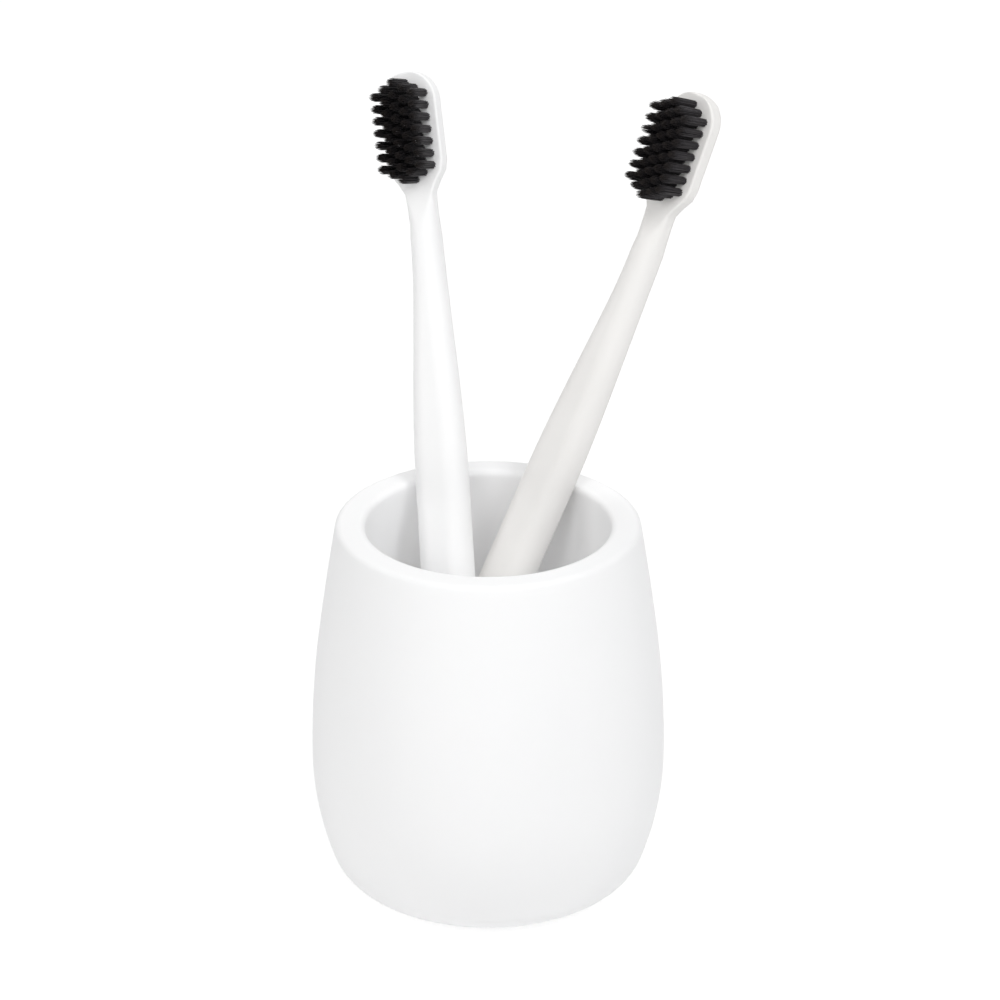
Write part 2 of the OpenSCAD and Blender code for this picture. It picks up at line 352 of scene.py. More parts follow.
@dataclass(frozen=True)
class Filament:
    """Finish of the bristles.

    Attributes:
        name: The material's name.
        root: Colour of the shaft, linear: the nylon's charcoal, lightened as painted sheen.
        tip: Colour of the cut tip, darkened as painted shade among the tips.
        tip: Colour of the cut tip, which takes in more light.
        roughness: Roughness of the strands.
        specular: Specular level.
        tip_start: Place along the strand where the tip's colour starts.
        tip_full: Place where it is reached.
        patch_scale: Patches of uneven colour a metre.
        patch_share: How strongly they show.
    """

    name: str
    root: Color
    tip: Color
    roughness: float = 0.45
    specular: float = 0.2
    tip_start: float = 0.72
    tip_full: float = 0.95
    patch_scale: float = 900.0
    patch_share: float = 0.35

    def material(self, groups: SurfaceGroups) -> Material:
        """Builds the material.

        Args:
            groups: The shared node groups.

        Returns:
            The material.
        """
        made, graph = new_material(self.name)
        along = graph.add("ShaderNodeAttribute", attribute_name=ALONG).outputs["Fac"]
        ramp = graph.add("ShaderNodeValToRGB", {0: along})
        # The ramp runs from the shaft's colour, with its painted sheen, to the tips' painted shade.
        shaft, end = ramp.color_ramp.elements
        shaft.position, shaft.color = self.tip_start, rgba(self.root)
        end.position, end.color = self.tip_full, rgba(self.tip)
        # Random patches drift towards the tip's colour, which is painted shade.
        mottle = graph.add(
            "ShaderNodeGroup",
            {
                "Color": ramp.outputs["Color"],
                "Second color": rgba(self.tip),
                "Scale": self.patch_scale,
            },
            node_tree=groups.mottle,
        )
        mixed = graph.mix(self.patch_share, ramp.outputs["Color"], mottle.outputs["Color"])
        graph.surface({
            "Base Color": mixed,
            "Roughness": self.roughness,
            "Specular IOR Level": self.specular,
        })
        return made


@dataclass
class Finishes:
    """The materials of the object, one for each thing that it is made of.

    Attributes:
        groups: The node groups that they share.
        cast: The tumbler's matt ceramic.
        pad: The foot pad's soft plastic.
        brass: The anchors' brass.
        nylon: The bristles' nylon.
        plastic: The plastic of each brush's moulding.
    """

    groups: SurfaceGroups = field(default_factory=SurfaceGroups)
    cast: Material = field(init=False)
    pad: Material = field(init=False)
    brass: Material = field(init=False)
    nylon: Material = field(init=False)
    plastic: dict[Brush, Material] = field(init=False)

    def __post_init__(self) -> None:
        """Builds the materials."""
        self.cast = Skin(
            name="matte_cast_ceramic",
            color=(0.95, 0.95, 0.953),
            second=(0.935, 0.936, 0.94),
            rougher=0.16,
            mottle_scale=26.0,
            grain_scale=2600.0,
            relief=0.16,
            stretch=0.25,
        ).material(self.groups)
        self.pad = Skin(
            name="soft_foot_pad",
            color=(0.62, 0.62, 0.61),
            second=(0.55, 0.55, 0.54),
            roughness=0.8,
            rougher=0.15,
            specular=0.2,
            mottle_scale=200.0,
            grain_scale=1800.0,
            relief=0.6,
            sheen=0.1,
        ).material(self.groups)
        self.brass = Skin(
            name="stamped_brass",
            color=(0.60, 0.42, 0.16),
            second=(0.50, 0.34, 0.12),
            roughness=0.3,
            rougher=0.15,
            specular=0.5,
            mottle_scale=700.0,
            grain_scale=6000.0,
            relief=0.2,
            metallic=1.0,
        ).material(self.groups)
        # The root colour is the nylon's charcoal lightened as painted sheen; the tip colour is
        # painted shade among the tips.
        self.nylon = Filament(
            name="charcoal_nylon", root=(0.044, 0.041, 0.045), tip=(0.014, 0.010, 0.008)
        ).material(self.groups)
        self.plastic = {
            Brush.WHITE: Skin(
                name="white_moulded_plastic",
                color=(0.965, 0.965, 0.965),
                second=(0.95, 0.95, 0.954),
                relief=0.08,
            ).material(self.groups),
            Brush.GREY: Skin(
                name="warm_grey_moulded_plastic",
                color=(0.87, 0.857, 0.84),
                second=(0.85, 0.837, 0.82),
            ).material(self.groups),
        }


# Meshes


def circle_arc(centre: Point, radius: float, start: float, end: float, steps: int) -> list[Point]:
    """Points along an arc of an outline.

    Args:
        centre: The arc's centre, as distance from the axis and height.
        radius: Its radius.
        start: Angle at its first point, in degrees.
        end: Angle at its last point.
        steps: Steps between them.

    Returns:
        The points.
    """
    angles = [math.radians(start + (end - start) * k / steps) for k in range(steps + 1)]
    return [(centre[0] + radius * math.cos(a), centre[1] + radius * math.sin(a)) for a in angles]


def keep_apart(points: Iterable[Point], gap: float) -> list[Point]:
    """Thins out an outline.

    Args:
        points: Its points.
        gap: The least distance from one point to the next.

    Returns:
        The points that are left.
    """
    kept: list[Point] = []
    for point in points:
        if not kept or math.dist(point, kept[-1]) > gap:
            kept.append(point)
    return kept


def turn_profile(bm: BMesh, outline: Sequence[Point], steps: int) -> None:
    """Spins an outline round the Z axis and closes its poles.

    Args:
        bm: The mesh that takes the shape.
        outline: Points as distance from the axis and height, from one pole to the other.
        steps: Steps of the full turn.
    """
    verts = [bm.verts.new((r, 0.0, z)) for r, z in outline]
    edges = [bm.edges.new(pair) for pair in zip(verts, verts[1:])]
    bmesh.ops.spin(
        bm, geom=verts + edges, cent=(0, 0, 0), axis=(0, 0, 1), dvec=(0, 0, 0),
        angle=math.tau, steps=steps, use_merge=True, use_duplicate=False,
    )
    bmesh.ops.remove_doubles(bm, verts=bm.verts, dist=MERGE_GAP)
    bmesh.ops.recalc_face_normals(bm, faces=bm.faces)


def edges_of(verts: Iterable[BMVert]) -> list[BMEdge]:
    """The edges at some vertices, each once and in the same order in each run."""
    return list(dict.fromkeys(edge for vert in verts for edge in vert.link_edges))


def sort_mesh(bm: BMesh) -> None:
    """Sorts vertices and faces by their places, so that each run makes the same mesh.

    Args:
        bm: The mesh.
    """
    for index, vert in enumerate(sorted(bm.verts, key=lambda vert: vert.co[:])):
        vert.index = index
    bm.verts.sort()
    ranked = sorted(bm.faces, key=lambda face: sorted(vert.index for vert in face.verts))
    for index, face in enumerate(ranked):
        face.index = index
    bm.faces.sort()


def new_piece(name: str, bm: BMesh, material: Material) -> Object:
    """Makes an object of a mesh that is in millimetres.

    Args:
        name: The piece's name.
        bm: Its mesh, which is freed.
        material: Its material.

    Returns:
        The object, at the origin, with smooth shading.
    """
    bmesh.ops.scale(bm, vec=(MM, MM, MM), verts=bm.verts)
    sort_mesh(bm)
    for face in bm.faces:
        face.smooth = True
    mesh = bpy.data.meshes.new(name)
    bm.to_mesh(mesh)
    bm.free()
    mesh.materials.append(material)
    piece = bpy.data.objects.new(name, mesh)
    bpy.context.scene.collection.objects.link(piece)
    return piece


def dress_node(node: str, material: Material) -> Object:
    """Gives a CAD node that stays in view its material.

    Args:
        node: The node's name.
        material: Its material.

    Returns:
        The node's object.
    """
    piece = frame["nodes"][node]
    piece.data.materials.clear()
    piece.data.materials.append(material)
    return piece


@dataclass
class Tumbler:
    """The cast tumbler and the pad under it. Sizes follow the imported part.

    Attributes:
        height: Height of the rim over the surface.
        belly_r: Radius at the belly.
        belly_z: Height of the belly.
        belly_arc_r: Radius of the outline's arc over the belly.
        belly_arc_angle: Angle of that arc, in degrees.
        upper_arc_r: Radius of the flatter arc from there to the rim.
        lower_arc_r: Radius of the arc under the belly.
        base_corner_r: Round between that arc and the underside.
        rim_outer_round: Round on the rim's outer edge.
        rim_inner_round: Round on its inner edge.
        bore_r: Radius of the bore.
        floor_z: Height of the floor over the surface.
        floor_fillet: Fillet between the bore and the floor.
        underside_z: Height of the underside's flat ring.
        recess_r: Radius of the recess for the pad.
        recess_z: Height of the recess's roof.
        lip: Distance of the rings that hold a sharp edge's shading.
        wall_shares: Places of the rings down the bore, as shares of its depth.
        floor_shares: Places of the rings on the floor, as shares of its flat's radius.
        recess_share: Place of the ring beside the recess's wall, as a share of its radius.
        least_gap: Least distance between two points of the outline.
        arc_steps: Steps of the outside's five arcs, from the foot to the rim.
        mouth_steps: Steps of the round on the rim's inner edge.
        fillet_steps: Steps of the floor's fillet.
        turn_steps: Steps of the full turn.
    """

    height: float = 92.0
    belly_r: float = 42.3
    belly_z: float = 31.7
    belly_arc_r: float = 244.7
    belly_arc_angle: float = 7.9
    upper_arc_r: float = 786.0
    lower_arc_r: float = 74.3
    base_corner_r: float = 9.3
    rim_outer_round: float = 1.5
    rim_inner_round: float = 1.6
    bore_r: float = 28.9
    floor_z: float = 10.0
    floor_fillet: float = 6.0
    underside_z: float = 0.5
    recess_r: float = 26.2
    recess_z: float = 1.5
    lip: float = 0.25
    wall_shares: tuple[float, ...] = (0.01, 0.25, 0.5, 0.75, 0.99)
    floor_shares: tuple[float, ...] = (0.96, 0.5, 0.0)
    recess_share: float = 0.98
    least_gap: float = 0.02
    arc_steps: tuple[int, ...] = (12, 16, 14, 12, 8)
    mouth_steps: int = 8
    fillet_steps: int = 10
    turn_steps: int = 192

    def outer_side(self) -> list[Point]:
        """Outline of the outside.

        Returns:
            Its points, from the underside to the rim's flat.
        """
        angle = math.radians(self.belly_arc_angle)
        belly = (self.belly_r - self.belly_arc_r, self.belly_z)
        spare = self.belly_arc_r - self.upper_arc_r
        upper = (belly[0] + spare * math.cos(angle), belly[1] + spare * math.sin(angle))
        lower = (self.belly_r - self.lower_arc_r, self.belly_z)
        drop = self.belly_z - self.underside_z - self.base_corner_r
        reach = math.sqrt((self.lower_arc_r - self.base_corner_r) ** 2 - drop**2)
        corner = (lower[0] + reach, lower[1] - drop)
        corner_angle = -math.degrees(math.atan2(drop, reach))
        rise = self.height - self.rim_outer_round - upper[1]
        out = math.sqrt((self.upper_arc_r - self.rim_outer_round) ** 2 - rise**2)
        rim = (upper[0] + out, upper[1] + rise)
        rim_angle = math.degrees(math.atan2(rise, out))
        arcs = (
            (corner, self.base_corner_r, -90, corner_angle),
            (lower, self.lower_arc_r, corner_angle, 0),
            (belly, self.belly_arc_r, 0, self.belly_arc_angle),
            (upper, self.upper_arc_r, self.belly_arc_angle, rim_angle),
            (rim, self.rim_outer_round, rim_angle, 90),
        )
        return [p for arc, n in zip(arcs, self.arc_steps) for p in circle_arc(*arc, n)]

    def inner_side(self) -> list[Point]:
        """Outline of the inside.

        Returns:
            Its points, from the rim's flat to the middle of the floor.
        """
        mouth = (self.bore_r + self.rim_inner_round, self.height - self.rim_inner_round)
        foot = (self.bore_r - self.floor_fillet, self.floor_z + self.floor_fillet)
        depth = mouth[1] - foot[1]
        return [
            (mouth[0] + self.lip, self.height),
            *circle_arc(mouth, self.rim_inner_round, 90, 180, self.mouth_steps),
            *((self.bore_r, mouth[1] - depth * share) for share in self.wall_shares),
            *circle_arc(foot, self.floor_fillet, 0, -90, self.fillet_steps),
            *((foot[0] * share, self.floor_z) for share in self.floor_shares),
        ]

    def underside(self) -> list[Point]:
        """Outline of the recess for the pad.

        Returns:
            Its points, from the axis to the flat ring round it.
        """
        return [
            (0.0, self.recess_z),
            (self.recess_r * self.recess_share, self.recess_z),
            (self.recess_r, self.recess_z),
            (self.recess_r, self.recess_z - self.lip),
            (self.recess_r, self.underside_z + self.lip),
            (self.recess_r, self.underside_z),
            (self.recess_r + self.lip, self.underside_z),
        ]

    def build(self, finishes: Finishes) -> Object:
        """Builds the cast shell and dresses the pad.

        Args:
            finishes: The object's materials.

        Returns:
            The shell.
        """
        bm = bmesh.new()
        outer = self.outer_side()
        support = (outer[-1][0] - self.lip, self.height)
        points = [*self.underside(), *outer, support, *self.inner_side()]
        outline = keep_apart(points, self.least_gap)
        turn_profile(bm, outline, self.turn_steps)
        shell = new_piece("tumbler_shell", bm, finishes.cast)
        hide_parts("tumbler")
        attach(shell, "tumbler")
        dress_node("foot_pad", finishes.pad)
        return shell


@dataclass(frozen=True)
class BrushSeat:
    """Where a brush stands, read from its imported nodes.

    Attributes:
        foot: The middle of its lower end, in metres.
        across: Unit vector along the head's width.
        forward: Unit vector to the bristles' side.
        along: Unit vector up the handle.
    """

    foot: Vector
    across: Vector
    forward: Vector
    along: Vector

    @classmethod
    def of(cls, brush: Brush) -> "BrushSeat":
        """Reads where a brush stands from its joint's axis, its lower end and its bristles' side.

        Args:
            brush: Which brush.

        Returns:
            The seat.
        """
        joint = next(j for j in frame["joints"] if j["name"] == brush.joint)
        along = Vector(joint["axis"]).normalized()
        handle = [v.co.copy() for v in frame["nodes"][brush.node("handle")].data.vertices]
        tufts = [v.co.copy() for v in frame["nodes"][brush.node("bristles")].data.vertices]
        lowest = min(co.dot(along) for co in handle)
        end = [co for co in handle if co.dot(along) < lowest + END_SLICE]
        corners = list({tuple(round(x, PLACE_DIGITS) for x in co): co for co in end}.values())
        foot = sum(corners, Vector()) / len(corners)
        middle = sum(tufts, Vector()) / len(tufts) - foot
        forward = (middle - along * middle.dot(along)).normalized()
        return cls(foot, forward.cross(along), forward, along)

    def matrix(self) -> Matrix:
        """The brush's own frame in the part's, in millimetres: x across, y forward, z along."""
        turn = Matrix((self.across, self.forward, self.along)).transposed().to_4x4()
        return Matrix.Translation(self.foot / MM) @ turn


@dataclass(frozen=True)
class HandleSizes:
    """Sizes of a brush's moulding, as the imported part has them. Starts are from its lower end.

    Attributes:
        length: From the lower end to the head's tip, along the centre line.
        grip_w: Width of the handle.
        grip_t: Its thickness.
        grip_corner: Round on its corners.
        foot_round: Round on its lower end.
        taper_start: Start of the handle's taper.
        taper_len: Its length.
        neck_w: Width of the neck.
        neck_t: Its thickness.
        bend_start: Start of the neck's bend.
        bend_len: Its length.
        bend_angle: Its angle, in degrees.
        head_len: Length of the head.
        head_w: Its width.
        head_t: Its thickness.
        head_corner: Round of its outline at the tip.
        face_edge: Round on the edges of its face.
        back_round: Round on the edges of its back.
        flatten_len: Length over which the neck flattens into it.
        shoulder_len: Length over which the neck widens into it.
        shoulder_lead: How far before the head the widening starts.
        full_round: Largest corner, as a share of half the section's lesser side.
    """

    length: float = 192.4
    grip_w: float = 13.1
    grip_t: float = 9.0
    grip_corner: float = 4.2
    foot_round: float = 4.2
    taper_start: float = 94.0
    taper_len: float = 64.5
    neck_w: float = 7.2
    neck_t: float = 7.9
    bend_start: float = 135.4
    bend_len: float = 28.0
    bend_angle: float = 6.9
    head_len: float = 28.6
    head_w: float = 14.8
    head_t: float = 4.3
    head_corner: float = 7.1
    face_edge: float = 0.6
    back_round: float = 1.8
    flatten_len: float = 11.2
    shoulder_len: float = 7.5
    shoulder_lead: float = 1.4
    full_round: float = 0.94

    @property
    def head_start(self) -> float:
        """Distance from the lower end to the head."""
        return self.length - self.head_len


@dataclass(frozen=True)
class TuftSizes:
    """Layout of the tufts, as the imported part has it, and sizes of their filaments.

    Attributes:
        columns: Tufts in each column, from one side of the head to the other.
        pitch: Distance between the tufts of a column.
        column_pitch: Distance between the columns.
        radius: Radius of a tuft at its root.
        length: Length of its longest filament over the face.
        root: How deep it sits in the head.
        filaments: Filaments in a tuft.
        filament_r: Radius of a filament.
        splay: How far the outermost tips stand out from their roots.
        wander: Largest turn of a filament from its place in the tuft's spiral, in radians.
        stray: Spread of the tips' offsets to any side.
        fan: How far a tuft's tip leans out, as a share of its place off the head's middle.
        trim: How much shorter the outermost filaments are, which rounds the tuft's end.
        uneven: Largest difference in length between neighbours.
        stops: Places along a filament, as shares of its length, where it starts to thin.
        thickness: Its thickness at each of them, as a share of the root's.
        sides: Sides of a filament.
        kinds: Different tufts that the head is set with.
    """

    columns: tuple[int, ...] = (7, 8, 9, 8, 7)
    pitch: float = 2.9
    column_pitch: float = 2.36
    radius: float = 0.98
    length: float = 9.4
    root: float = 0.5
    filaments: int = 70
    filament_r: float = 0.1
    splay: float = 0.2
    wander: float = 0.2
    stray: float = 0.04
    fan: float = 0.07
    trim: float = 1.7
    uneven: float = 1.0
    stops: tuple[float, ...] = (0.0, 0.66, 0.86, 1.0)
    thickness: tuple[float, ...] = (1.0, 1.0, 0.66, 0.2)
    sides: int = 5
    kinds: int = 5


def blend(x: float) -> float:
    """Smooth step from 0 to 1 as x does."""
    k = min(max(x, 0.0), 1.0)
    return k * k * (3 - 2 * k)


def rounding(depth: float, radius: float) -> float:
    """How far a round lies inside its corner.

    Args:
        depth: Distance from the end.
        radius: The round's radius.

    Returns:
        The distance.
    """
    if depth >= radius:
        return 0.0
    return radius - math.sqrt(radius**2 - (radius - depth) ** 2)


@dataclass
class Toothbrush:
    """One toothbrush: its moulding, tufts and anchors.

    Attributes:
        kind: Which of the two it is.
        seed: Seed of the filaments' small differences.
        sizes: Sizes of the moulding.
        tufts: Sizes of the tufts.
        corner_steps: Steps of each corner of the moulding's section.
        end_steps: Steps of each rounded end.
        ring_gap: Largest distance between two rings of the moulding over the grip.
        least_gap: Least distance between two rings.
        flat_shares: Places of the points along a section's flats, as shares of their length.
        grip_shares: Places of the grip's rings, as shares of its length.
    """

    kind: Brush
    seed: int
    sizes: HandleSizes = field(default_factory=HandleSizes)
    tufts: TuftSizes = field(default_factory=TuftSizes)
    corner_steps: int = 8
    end_steps: int = 8
    ring_gap: float = 2.5
    least_gap: float = 0.03
    flat_shares: tuple[float, ...] = (0.08, 0.36, 0.64, 0.92)
    grip_shares: tuple[float, ...] = (0.01, 0.3, 0.6, 0.9)

    def half_width(self, s: float) -> float:
        """Half the moulding's width.

        Args:
            s: Distance from the lower end.

        Returns:
            The half width.
        """
        z = self.sizes
        shoulder = blend((s - z.head_start + z.shoulder_lead) / z.shoulder_len)
        return (
            z.grip_w / 2
            + (z.neck_w - z.grip_w) / 2 * blend((s - z.taper_start) / z.taper_len)
            + (z.head_w - z.neck_w) / 2 * shoulder
            - rounding(s, z.foot_round)
            - rounding(z.length - s, z.head_corner)
        )

    def flatness(self, s: float) -> float:
        """How far the neck has flattened into the head, from 0 to 1."""
        z = self.sizes
        return blend((s - z.head_start + z.flatten_len) / z.flatten_len)

    def reach(self, s: float, head_round: float) -> float:
        """How far the moulding reaches from its centre line, to its face or to its back.

        Args:
            s: Distance from the lower end.
            head_round: Round on the head's edges on that side.

        Returns:
            The reach.
        """
        z = self.sizes
        return (
            z.grip_t / 2
            + (z.neck_t - z.grip_t) / 2 * blend((s - z.taper_start) / z.taper_len)
            + (z.head_t - z.neck_t) / 2 * self.flatness(s)
            - rounding(s, z.foot_round)
            - rounding(z.length - s, head_round)
        )

    def spine(self, s: float) -> tuple[Vector, float]:
        """Place and slope of the centre line.

        Args:
            s: Distance from the lower end.

        Returns:
            The place in the brush's frame and the slope towards the bristles, in radians.
        """
        z = self.sizes
        full = math.radians(z.bend_angle)
        radius = z.bend_len / full
        slope = full * min(max((s - z.bend_start) / z.bend_len, 0.0), 1.0)
        before = min(s, z.bend_start)
        past = max(s - z.bend_start - z.bend_len, 0.0)
        return (
            Vector((
                0.0,
                radius * (1 - math.cos(slope)) + past * math.sin(slope),
                before + radius * math.sin(slope) + past * math.cos(slope),
            )),
            slope,
        )

    def outline(self, s: float) -> list[Vector]:
        """Section of the moulding, a rounded rectangle with points along its flats.

        Args:
            s: Distance from the lower end.

        Returns:
            Its points, as distance across and to the face.
        """
        z = self.sizes
        w = self.half_width(s)
        head_rounds = {1: z.face_edge, -1: z.back_round}
        reaches = {side: self.reach(s, edge) for side, edge in head_rounds.items()}
        most = z.full_round * min(w, sum(reaches.values()) / 2)
        parts = [k / self.corner_steps for k in range(self.corner_steps + 1)]
        corners: list[list[Vector]] = []
        for quarter, (hand, side) in enumerate(((1, 1), (-1, 1), (-1, -1), (1, -1))):
            spare = head_rounds[side] - z.grip_corner
            r = min(most, z.grip_corner + spare * self.flatness(s))
            middle = Vector((hand * (w - r), side * (reaches[side] - r)))
            angles = [math.radians(90 * (quarter + part)) for part in parts]
            corners.append([middle + Vector((math.cos(a), math.sin(a))) * r for a in angles])
        points: list[Vector] = []
        for here, following in zip(corners, corners[1:] + corners[:1]):
            points += here
            points += [here[-1].lerp(following[0], share) for share in self.flat_shares]
        return points

    def stations(self) -> list[float]:
        """Places of the moulding's rings.

        Returns:
            Their distances from the lower end, rising.
        """
        z = self.sizes
        ends = [math.radians(90 * k / self.end_steps) for k in range(self.end_steps + 1)]
        foot = [z.foot_round * (1 - math.cos(a)) for a in ends]
        tip = [z.length - z.head_corner * (1 - math.sin(a)) for a in ends]
        edge = [z.length - z.face_edge * (1 - math.sin(a)) for a in ends[1:-1]]
        back = [z.length - z.back_round * (1 - math.sin(a)) for a in ends[1:-1]]
        count = math.ceil((tip[0] - z.taper_start) / self.ring_gap)
        body = [z.taper_start + (tip[0] - z.taper_start) * k / count for k in range(count)]
        grip = [foot[-1] + (z.taper_start - foot[-1]) * share for share in self.grip_shares]
        kept: list[float] = []
        for s in sorted(foot + grip + body + tip + edge + back, reverse=True):
            if not kept or kept[-1] - s > self.least_gap:
                kept.append(s)
        return kept[::-1]

    def ring(self, bm: BMesh, s: float) -> list[BMEdge]:
        """Adds one ring of the moulding.

        Args:
            bm: The moulding's mesh.
            s: The ring's distance from the lower end.

        Returns:
            The ring's edges.
        """
        centre, slope = self.spine(s)
        outline = self.outline(s)
        made = bmesh.ops.create_circle(bm, cap_ends=False, radius=1.0, segments=len(outline))
        for vert, point in zip(made["verts"], outline):
            lean = Vector((point.x, point.y * math.cos(slope), -point.y * math.sin(slope)))
            vert.co = centre + lean
        return edges_of(made["verts"])

    def build_moulding(self, seat: Matrix, finish: Material) -> Object:
        """Lofts the handle, neck and head.

        Args:
            seat: The brush's frame.
            finish: Its plastic.

        Returns:
            The moulding.
        """
        bm = bmesh.new()
        rings = [self.ring(bm, s) for s in self.stations()]
        for below, above in zip(rings, rings[1:]):
            bmesh.ops.bridge_loops(bm, edges=below + above)
        for end in (rings[0], rings[-1]):
            bmesh.ops.contextual_create(bm, geom=end)
        bmesh.ops.recalc_face_normals(bm, faces=bm.faces)
        bm.transform(seat)
        moulding = new_piece(f"{self.kind.value}_moulding", bm, finish)
        self._settle(moulding, "handle")
        return moulding

    def head_frame(self) -> Matrix:
        """Frame of the head's face.

        Returns:
            The frame, with x across, y to the tip and z out along the bristles.
        """
        z = self.sizes
        centre, slope = self.spine(z.length - z.head_len / 2)
        out = Vector((0, math.cos(slope), -math.sin(slope)))
        tip = Vector((0, math.sin(slope), math.cos(slope)))
        turn = Matrix((Vector((-1, 0, 0)), tip, out)).transposed().to_4x4()
        return Matrix.Translation(centre + out * z.head_t / 2) @ turn

    def strand(self, bm: BMesh, root: Vector, tip: Vector) -> None:
        """Adds one filament as a tapered tube of a few faces.

        Args:
            bm: The tuft's mesh.
            root: Middle of its root.
            tip: Middle of its tip.
        """
        t = self.tufts
        foot = Matrix.Translation(root)
        made = bmesh.ops.create_circle(
            bm, cap_ends=False, radius=t.filament_r, segments=t.sides, matrix=foot
        )
        loop = edges_of(made["verts"])
        for k in range(1, len(t.stops)):
            grown = bmesh.ops.extrude_edge_only(bm, edges=loop)["geom"]
            verts = [item for item in grown if isinstance(item, BMVert)]
            loop = [
                item for item in grown
                if isinstance(item, BMEdge) and all(v in verts for v in item.verts)
            ]
            here = root.lerp(tip, t.stops[k])
            share = t.thickness[k] / t.thickness[k - 1]
            bmesh.ops.translate(bm, vec=here - root.lerp(tip, t.stops[k - 1]), verts=verts)
            about = Matrix.Translation(-here)
            bmesh.ops.scale(bm, vec=(share, share, 1.0), space=about, verts=verts)
        bmesh.ops.contextual_create(bm, geom=loop)

    def tuft(self, rng: random.Random) -> Mesh:
        """Makes one tuft, its root at the origin and its filaments along Z.

        Args:
            rng: Source of the filaments' small differences.

        Returns:
            The tuft's mesh.
        """
        t = self.tufts
        bm = bmesh.new()
        for k in range(t.filaments):
            spread = math.sqrt((k + 0.5) / t.filaments)
            angle = k * GOLDEN_ANGLE + rng.uniform(-t.wander, t.wander)
            out = Vector((math.cos(angle), math.sin(angle), 0.0))
            root = out * spread * (t.radius - t.filament_r)
            stray = Vector((rng.gauss(0, t.stray), rng.gauss(0, t.stray), 0.0))
            length = t.length - t.trim * spread**3 - t.uneven * rng.random() ** 2
            tip = root + out * spread * t.splay + stray + Vector((0, 0, length))
            self.strand(bm, root - Vector((0, 0, t.root)), tip)
        mesh = bpy.data.meshes.new(f"{self.kind.value}_tuft")
        bm.to_mesh(mesh)
        bm.free()
        return mesh

    def places(self) -> list[Point]:
        """Places of the tufts.

        Returns:
            Their distances from the middle of the head's face, across and to the tip.
        """
        t = self.tufts
        return [
            ((c - (len(t.columns) - 1) / 2) * t.column_pitch, (k - (n - 1) / 2) * t.pitch)
            for c, n in enumerate(t.columns)
            for k in range(n)
        ]

    def build_bristles(self, seat: Matrix, finish: Material) -> Object:
        """Sets the tufts in the head.

        Args:
            seat: The brush's frame.
            finish: The filaments' nylon.

        Returns:
            The bristles.
        """
        rng = random.Random(self.seed)
        kinds = [self.tuft(rng) for _ in range(self.tufts.kinds)]
        bm = bmesh.new()
        for x, y in self.places():
            before = len(bm.verts)
            bm.from_mesh(rng.choice(kinds))
            bm.verts.ensure_lookup_table()
            turn = Matrix.Rotation(rng.uniform(0, math.tau), 4, "Z")
            lean = Matrix.Identity(4)
            lean[0][2] = x * self.tufts.fan / self.tufts.length
            move = Matrix.Translation((x, y, 0.0)) @ lean @ turn
            bmesh.ops.transform(bm, matrix=move, verts=bm.verts[before:])
        layer = bm.verts.layers.float.new(ALONG)
        for vert in bm.verts:
            vert[layer] = min(max(vert.co.z / self.tufts.length, 0.0), 1.0)
        bmesh.ops.recalc_face_normals(bm, faces=bm.faces)
        bm.transform(seat @ self.head_frame())
        for mesh in kinds:
            bpy.data.meshes.remove(mesh)
        bristles = new_piece(f"{self.kind.value}_tufts", bm, finish)
        self._settle(bristles, "bristles")
        return bristles

    def _settle(self, piece: Object, role: str) -> None:
        """Puts a piece on the brush's body, in place of its CAD node.

        Args:
            piece: The piece.
            role: The node's name without the brush's.
        """
        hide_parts(self.kind.node(role))
        self.kind.node(role)
        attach(piece, self.kind.body)

    def build(self, finishes: Finishes) -> list[Object]:
        """Builds the brush and dresses its anchors.

        Args:
            finishes: The object's materials.

        Returns:
            The new pieces.
        """
        seat = BrushSeat.of(self.kind).matrix()
        dress_node(self.kind.node("anchors"), finishes.brass)
        return [
            self.build_moulding(seat, finishes.plastic[self.kind]),
            self.build_bristles(seat, finishes.nylon),
        ]


# Studio


@dataclass(frozen=True)
class Softbox:
    """One soft lamp.

    Attributes:
        name: The lamp's name.
        turn: How far it stands to the right of the camera's side, in degrees.
        height: How far it stands up from level, in degrees.
        size: Side of the square, in metres.
        power: Its power, in watts.
        color: Its tint.
        distance: From the aim, in metres.
    """

    name: str
    turn: float
    height: float
    size: float
    power: float
    color: Color
    distance: float = 1.5

    def hang(self, aim: Vector) -> None:
        """Hangs the lamp.

        Args:
            aim: The place that it faces.
        """
        turn, height = math.radians(self.turn), math.radians(self.height)
        level = Vector((math.sin(turn), -math.cos(turn), 0.0)) * math.cos(height)
        way = level + Vector((0.0, 0.0, math.sin(height)))
        lamp = bpy.data.lights.new(self.name, "AREA")
        lamp.size = self.size
        lamp.energy = self.power
        lamp.color = self.color
        holder = bpy.data.objects.new(self.name, lamp)
        holder.location = aim + way * self.distance
        holder.rotation_euler = (-way).to_track_quat("-Z", "Y").to_euler()
        bpy.context.scene.collection.objects.link(holder)


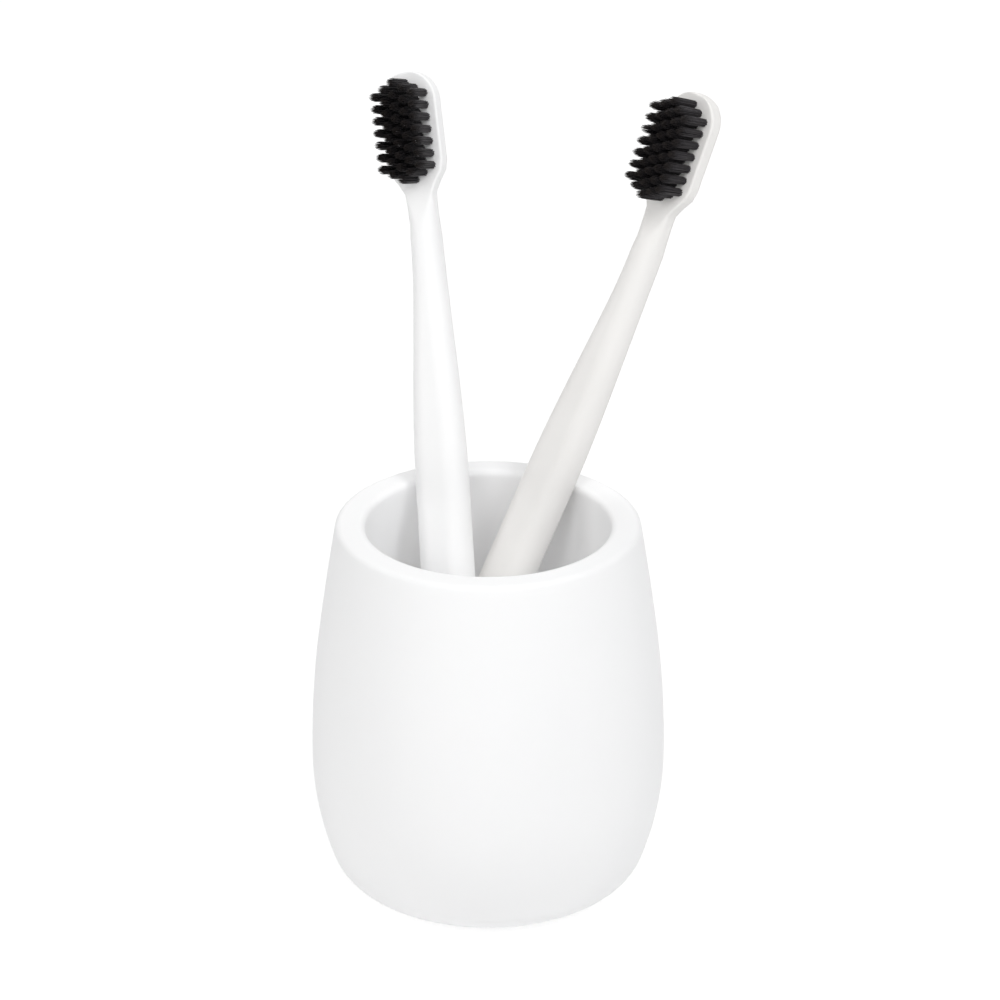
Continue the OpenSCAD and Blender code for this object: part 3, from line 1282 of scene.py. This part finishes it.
@dataclass
class Studio:
    """White floor and surround, soft lamps and the camera at the photograph's angle.

    Attributes:
        elevation: How far the camera looks down, in degrees.
        distance: From the camera to its aim, in metres.
        aim_z: Height of the aim on the tumbler's axis, in metres.
        lens: Focal length, in millimetres.
        sensor: Width of the sensor, in millimetres.
        shift_x: Sideways shift that puts the axis where the photograph has it.
        clip_start: Nearest distance that the camera shows, in metres.
        surround: Strength of the even light from all round.
        floor_shade: Floor's shade, which the object is lit from below by.
        floor_seen: Floor's shade to the camera, which carries the object's shadow.
        floor_glow: White that the camera sees on top of it.
        floor_rough: Roughness of the floor.
        floor_size: Width of the floor, in metres.
        floor_sides: Sides of the floor.
        bounces: Times that light may bounce off matt surfaces, which a deep white cup needs.
        lamps: The soft lamps.
    """

    elevation: float = 24.5
    distance: float = 0.9
    aim_z: float = 0.0975
    lens: float = 138.4
    sensor: float = 36.0
    shift_x: float = 0.0118
    clip_start: float = 0.05
    surround: float = 0.325
    floor_shade: float = 0.92
    floor_seen: float = 0.25
    floor_glow: float = 0.84
    floor_rough: float = 0.9
    floor_size: float = 6.0
    floor_sides: int = 64
    bounces: int = 10
    lamps: tuple[Softbox, ...] = (
        Softbox("lamp_front", 0.0, 55.0, 0.8, 4.0, PLAIN_WHITE),
        Softbox("lamp_left", -25.0, 30.0, 0.5, 3.2, (1.0, 0.998, 0.992)),
        Softbox("lamp_right", 50.0, 50.0, 0.5, 6.9, (0.992, 0.996, 1.0)),
        Softbox("lamp_left_side", -65.0, 28.0, 0.8, 3.4, (1.0, 0.998, 0.992)),
        Softbox("lamp_right_side", 70.0, 20.0, 0.8, 1.4, (0.985, 0.99, 1.0)),
        Softbox("lamp_back", 180.0, 50.0, 0.8, 5.0, PLAIN_WHITE),
    )

    @staticmethod
    def seen_directly(graph: Graph) -> NodeSocket:
        """Tells the light that is seen from the light that only falls on things.

        Args:
            graph: The graph that takes the nodes.

        Returns:
            A mask that is 1 for rays from the camera and for what gloss and glass show.
        """
        path = graph.add("ShaderNodeLightPath").outputs
        sharp = graph.math("MAXIMUM", path["Is Glossy Ray"], path["Is Transmission Ray"])
        return graph.math("MAXIMUM", path["Is Camera Ray"], sharp)

    def build_world(self) -> None:
        """Makes the surround: even soft light, plain white where it is seen."""
        world = bpy.data.worlds.new("studio_surround")
        world.use_nodes = True
        graph = Graph(world.node_tree)
        spare = graph.math("MULTIPLY", self.seen_directly(graph), 1.0 - self.surround)
        shader = graph.add(
            "ShaderNodeBackground",
            {"Color": rgba(PLAIN_WHITE), "Strength": graph.math("ADD", spare, self.surround)},
        )
        graph.add("ShaderNodeOutputWorld", {"Surface": shader.outputs[0]})
        bpy.context.scene.world = world

    def build_floor(self) -> Object:
        """Lays the white floor, which keeps the object's shadow.

        Returns:
            The floor.
        """
        bm = bmesh.new()
        bmesh.ops.create_circle(
            bm, cap_ends=True, radius=self.floor_size / MM / 2, segments=self.floor_sides
        )
        made, graph = new_material("studio_floor")
        seen = self.seen_directly(graph)
        color = graph.mix(seen, rgba((self.floor_shade,) * 3), rgba((self.floor_seen,) * 3))
        graph.surface({
            "Base Color": color,
            "Roughness": self.floor_rough,
            "Specular IOR Level": 0.0,
            "Emission Color": rgba(PLAIN_WHITE),
            "Emission Strength": graph.math("MULTIPLY", seen, self.floor_glow),
        })
        floor = new_piece("studio_floor", bm, made)
        return floor

    def set_camera(self) -> None:
        """Sets the camera at the photograph's viewing angle."""
        data = bpy.data.cameras.new("photo_camera")
        data.lens = self.lens
        data.sensor_width = self.sensor
        data.shift_x = self.shift_x
        data.clip_start = self.clip_start
        camera = bpy.data.objects.new("photo_camera", data)
        down = math.radians(self.elevation)
        camera.location = (
            0.0,
            -self.distance * math.cos(down),
            self.aim_z + self.distance * math.sin(down),
        )
        camera.rotation_euler = (math.pi / 2 - down, 0.0, 0.0)
        bpy.context.scene.collection.objects.link(camera)
        bpy.context.scene.camera = camera

    def build(self) -> None:
        """Builds the whole studio."""
        bpy.context.scene.view_settings.view_transform = "Standard"
        bpy.context.scene.cycles.diffuse_bounces = self.bounces
        self.build_world()
        self.build_floor()
        for lamp in self.lamps:
            lamp.hang(Vector((0.0, 0.0, self.aim_z)))
        self.set_camera()


def main() -> None:
    """Builds the object and the studio, and reports each piece."""
    logging.basicConfig(level=logging.INFO, format="%(message)s")
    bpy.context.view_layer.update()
    finishes = Finishes()
    pieces = [Tumbler().build(finishes)]
    pieces += Toothbrush(Brush.WHITE, seed=11).build(finishes)
    pieces += Toothbrush(Brush.GREY, seed=23).build(finishes)
    Studio().build()
    for piece in pieces:
        log.info("%s: %d faces", piece.name, len(piece.data.polygons))


if __name__ == "__main__":
    main()
